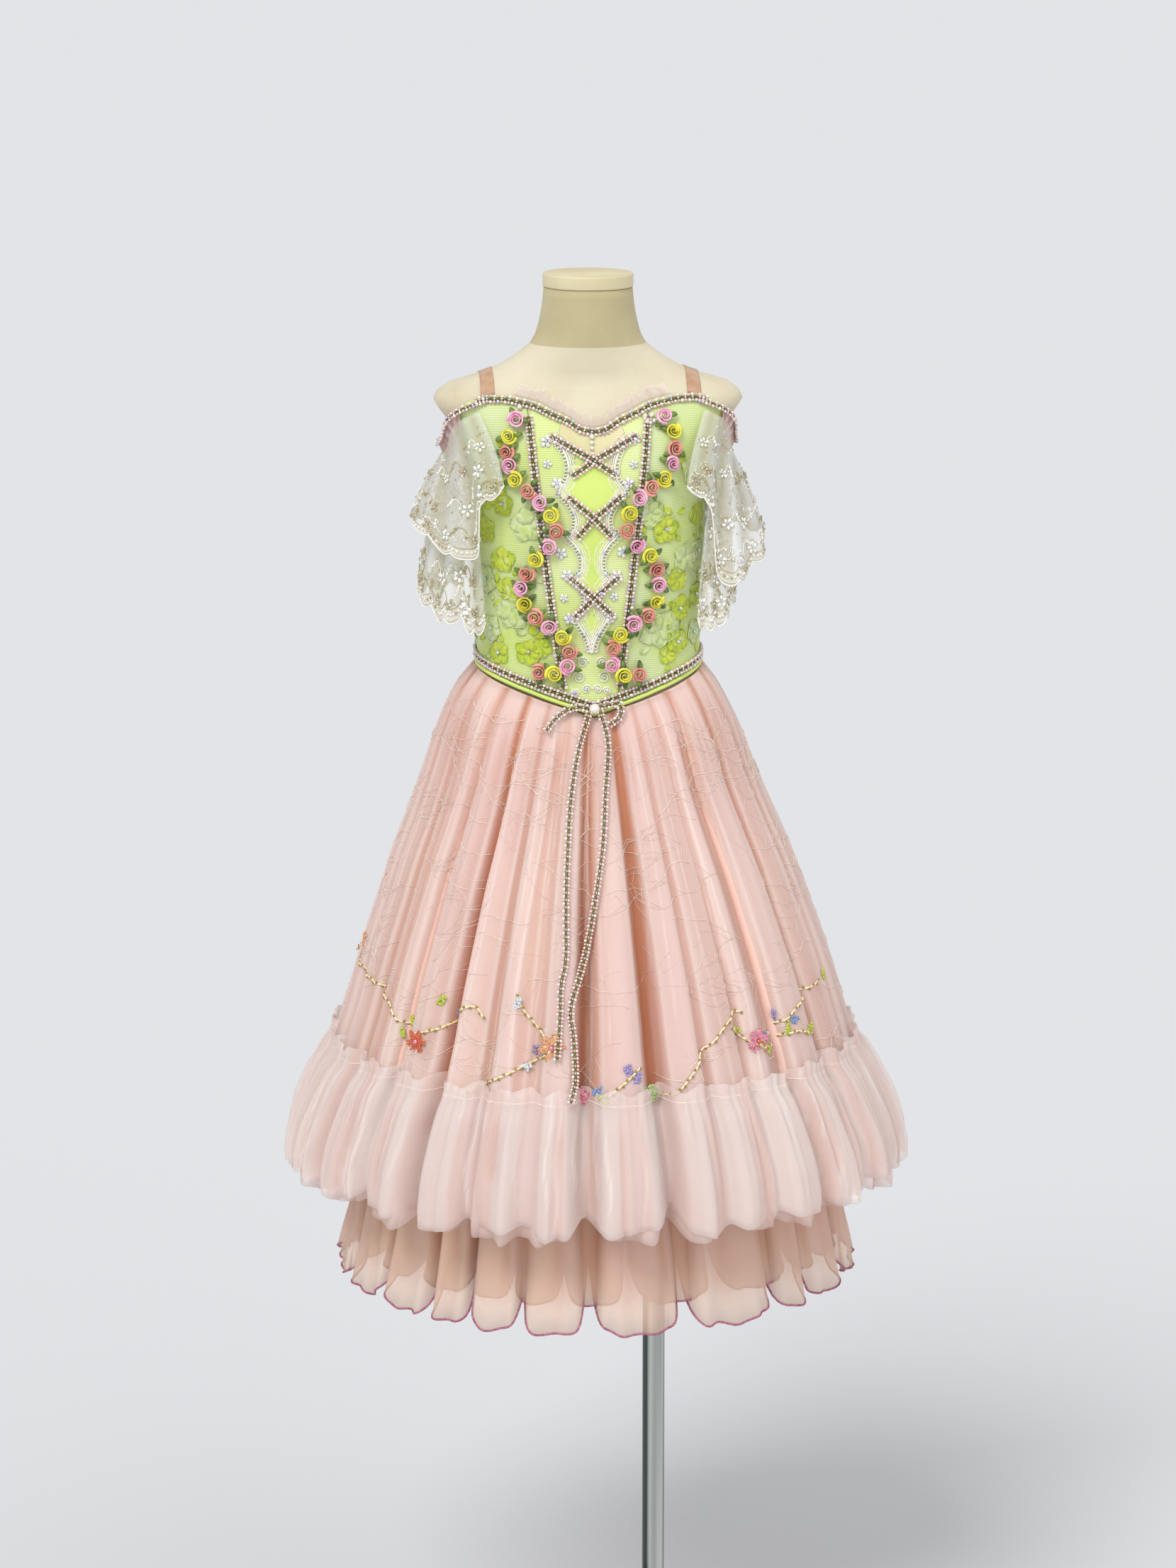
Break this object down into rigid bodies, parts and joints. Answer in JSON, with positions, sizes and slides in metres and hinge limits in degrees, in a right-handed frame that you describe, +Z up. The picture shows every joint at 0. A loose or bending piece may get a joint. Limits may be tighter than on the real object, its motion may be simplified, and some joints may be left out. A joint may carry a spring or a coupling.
{
  "type": "ballet dress on a dress form",
  "caption": "Ballet dress with a pointed bodice, rose garlands, off-shoulder lace sleeves and a layered full skirt, worn by a limbless dress form on a pole with a round base.",
  "frame": {"origin": "centre of the base's underside, on the form's upright axis", "axes": "+Z up along the pole and the form, the dress faces -Y, +X towards the viewer's right"},
  "size_m": [0.6944, 0.7035, 1.6],
  "materials": {
    "linen": "fine unbleached linen stretched over the form",
    "neck_linen": "smooth beige linen on the neck cap",
    "chrome": "polished chrome",
    "lime_satin": "bright lime duchess satin with a soft sheen",
    "green_organza": "pale green ribbed organza over lining",
    "peach_tulle": "peach pink net embroidered with a cream vein pattern",
    "pale_tulle": "pale pink crisp net",
    "peach_chiffon": "sheer peach organza with a rolled mauve hem",
    "pink_tulle": "ruched mauve pink tulle",
    "white_lace": "white net lace with embroidered flowers and a scalloped edge",
    "olive_braid": "olive cord edged with pink and white seed beads",
    "nude_elastic": "skin coloured elastic",
    "rose_ribbon": "pink, yellow and peach satin ribbon roses with dark green leaves"
  },
  "bodies": {
    "root": {"form_body": "linen", "form_cap": "neck_linen", "pole": "chrome", "base": "chrome", "bodice_centre_front": "lime_satin", "bodice_side_front_left": "green_organza", "bodice_side_front_right": "green_organza", "bodice_back_left": "green_organza", "bodice_back_right": "green_organza", "neckline_braid": "olive_braid", "waist_braid": "olive_braid", "princess_braid_left": "olive_braid", "princess_braid_right": "olive_braid", "lacing_braid_upper": "olive_braid", "lacing_braid_middle": "olive_braid", "lacing_braid_lower": "olive_braid", "rose_garland_left": "rose_ribbon", "rose_garland_right": "rose_ribbon", "overskirt_front": "peach_tulle", "overskirt_back": "peach_tulle", "flounce_front": "pale_tulle", "flounce_back": "pale_tulle", "underskirt_front": "peach_chiffon", "underskirt_back": "peach_chiffon", "basque_piping": "lime_satin", "bow": "olive_braid", "streamer_left": "olive_braid", "streamer_right": "olive_braid", "strap_left": "nude_elastic", "strap_right": "nude_elastic", "neckline_frill": "pink_tulle", "sleeve_band_left": "pink_tulle", "sleeve_band_right": "pink_tulle", "lace_upper_left": "white_lace", "lace_upper_right": "white_lace", "lace_lower_left": "white_lace", "lace_lower_right": "white_lace"}
  },
  "joints": []
}
